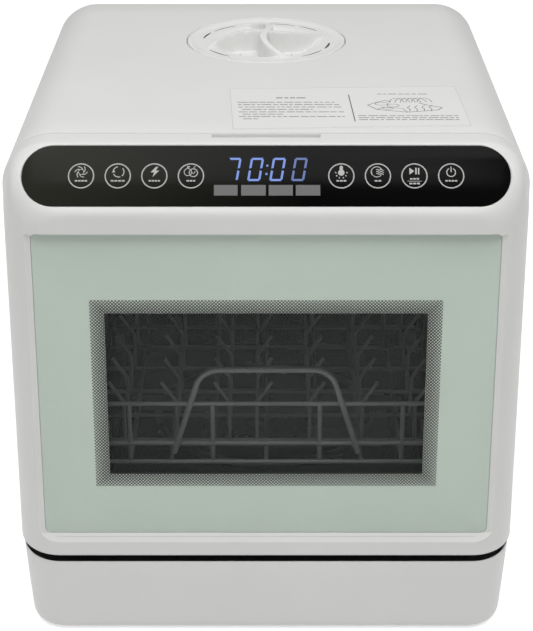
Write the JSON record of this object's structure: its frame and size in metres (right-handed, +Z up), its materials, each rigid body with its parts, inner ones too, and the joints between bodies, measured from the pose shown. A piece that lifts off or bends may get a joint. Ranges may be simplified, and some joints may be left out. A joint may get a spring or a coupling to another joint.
{
  "type": "countertop dishwasher",
  "caption": "Free-standing countertop dishwasher with a drop-down glass door, roll-out rack, spray arm, tank and twist-off fill cap.",
  "frame": {"origin": "middle of the footprint, on the surface that the feet stand on", "axes": "+Z up; the door and control panel face -Y; +X is to the right of someone who faces the door"},
  "size_m": [0.42, 0.458, 0.4395],
  "materials": {
    "cover": "fine satin texture",
    "cap": "satin",
    "label": "matt film",
    "dark_plastic": "moulded",
    "grey_plastic": "moulded",
    "natural_plastic": "moulded",
    "tub_plastic": "smooth moulded",
    "tank_plastic": "translucent moulded",
    "soft_rubber": "soft",
    "zinc_sheet": "zinc coated sheet",
    "steel": "plain",
    "coated_wire": "dipped coating on steel wire",
    "tinted_glass": "tempered",
    "black_glass": "gloss, printed black behind",
    "print": "screen print",
    "circuit": "lacquered board",
    "lens": "translucent"
  },
  "bodies": {
    "machine": {"base_tray": "cover", "base_deck": "dark_plastic", "feet": "soft_rubber", "housing": "cover", "rear_panel": "zinc_sheet", "rear_screws": "steel", "tips_label": "label", "tub": "tub_plastic", "front_sill": "grey_plastic", "door_seal": "soft_rubber", "latch_catch": "dark_plastic", "hinge_arms": "steel", "hinge_pins": "steel", "fill_neck": "cover", "fill_duct": "cover", "water_tank": "tank_plastic", "tank_lid": "tank_plastic", "transfer_pump": "dark_plastic", "sump": "dark_plastic", "pump_volute": "grey_plastic", "wash_motor": "steel", "filter_plate": "steel", "drain_pump": "dark_plastic", "drain_outlet": "grey_plastic", "heater_ring": "steel", "interior_lamp": "lens", "fan_casing": "dark_plastic", "power_board": "circuit", "board_box": "dark_plastic", "inlet_valve": "grey_plastic", "cord_gland": "soft_rubber"},
    "door": {"door_frame": "cover", "door_glass": "tinted_glass", "glass_print": "print", "inner_glass": "tinted_glass", "door_liner": "grey_plastic", "control_glass": "black_glass", "touch_board": "circuit", "display_module": "dark_plastic", "latch_hook": "grey_plastic"},
    "rack": {"rack_frame": "coated_wire", "rack_tines": "coated_wire", "rack_handle": "coated_wire", "roller_brackets": "dark_plastic"},
    "front_roller_pair": {"front_rollers": "natural_plastic"},
    "rear_roller_pair": {"rear_rollers": "natural_plastic"},
    "spray": {"spray_arm": "grey_plastic"},
    "filter": {"filter_cup": "grey_plastic"},
    "wash_rotor": {"wash_impeller": "natural_plastic"},
    "drain_rotor": {"drain_impeller": "natural_plastic"},
    "fan_rotor": {"fan_wheel": "natural_plastic"},
    "float": {"float_bell": "natural_plastic"},
    "cap_plug": {"cap_seal": "soft_rubber"},
    "cap": {"fill_cap": "cap", "cap_ridges": "cap"}
  },
  "joints": [
    {"name": "door_hinge", "type": "hinge", "parent": "machine", "child": "door", "pos_m": [0, -0.214, 0.093], "axis": [1, 0, 0], "range_deg": [0, 90]},
    {"name": "rack_slide", "type": "slide", "parent": "machine", "child": "rack", "axis": [0, -1, 0], "range_m": [0, 0.0951]},
    {"name": "front_roller_turn", "type": "hinge", "parent": "rack", "child": "front_roller_pair", "pos_m": [0, -0.095, 0.1253], "axis": [1, 0, 0], "range_deg": [0, 500]},
    {"name": "rear_roller_turn", "type": "hinge", "parent": "rack", "child": "rear_roller_pair", "pos_m": [0, 0.097, 0.1253], "axis": [1, 0, 0], "range_deg": [0, 500]},
    {"name": "spray_spin", "type": "hinge", "parent": "machine", "child": "spray", "pos_m": [0, -0.018, 0.116], "axis": [0, 0, 1], "continuous": true},
    {"name": "filter_turn", "type": "hinge", "parent": "machine", "child": "filter", "pos_m": [0.066, -0.018, 0.1], "axis": [0, 0, 1], "range_deg": [0, 45]},
    {"name": "wash_pump_spin", "type": "hinge", "parent": "machine", "child": "wash_rotor", "pos_m": [0, -0.018, 0.055], "axis": [0, 0, 1], "continuous": true},
    {"name": "drain_pump_spin", "type": "hinge", "parent": "machine", "child": "drain_rotor", "pos_m": [0.12, -0.018, 0.0725], "axis": [1, 0, 0], "continuous": true},
    {"name": "fan_spin", "type": "hinge", "parent": "machine", "child": "fan_rotor", "pos_m": [-0.112, -0.038, 0.4], "axis": [0, 0, 1], "continuous": true},
    {"name": "float_lift", "type": "slide", "parent": "machine", "child": "float", "axis": [0, 0, 1], "range_m": [0, 0.008]},
    {"name": "cap_lift", "type": "slide", "parent": "machine", "child": "cap_plug", "axis": [0, 0, 1], "range_m": [0, 0.06]},
    {"name": "cap_turn", "type": "hinge", "parent": "cap_plug", "child": "cap", "pos_m": [0, 0.096, 0.42], "axis": [0, 0, 1], "range_deg": [0, 90]}
  ],
  "couplings": [
    {"joint": "rack_slide", "follows": "door_hinge", "m_per_rad": 0.06048},
    {"joint": "front_roller_turn", "follows": "door_hinge", "ratio": 5.498},
    {"joint": "rear_roller_turn", "follows": "door_hinge", "ratio": 5.498}
  ]
}
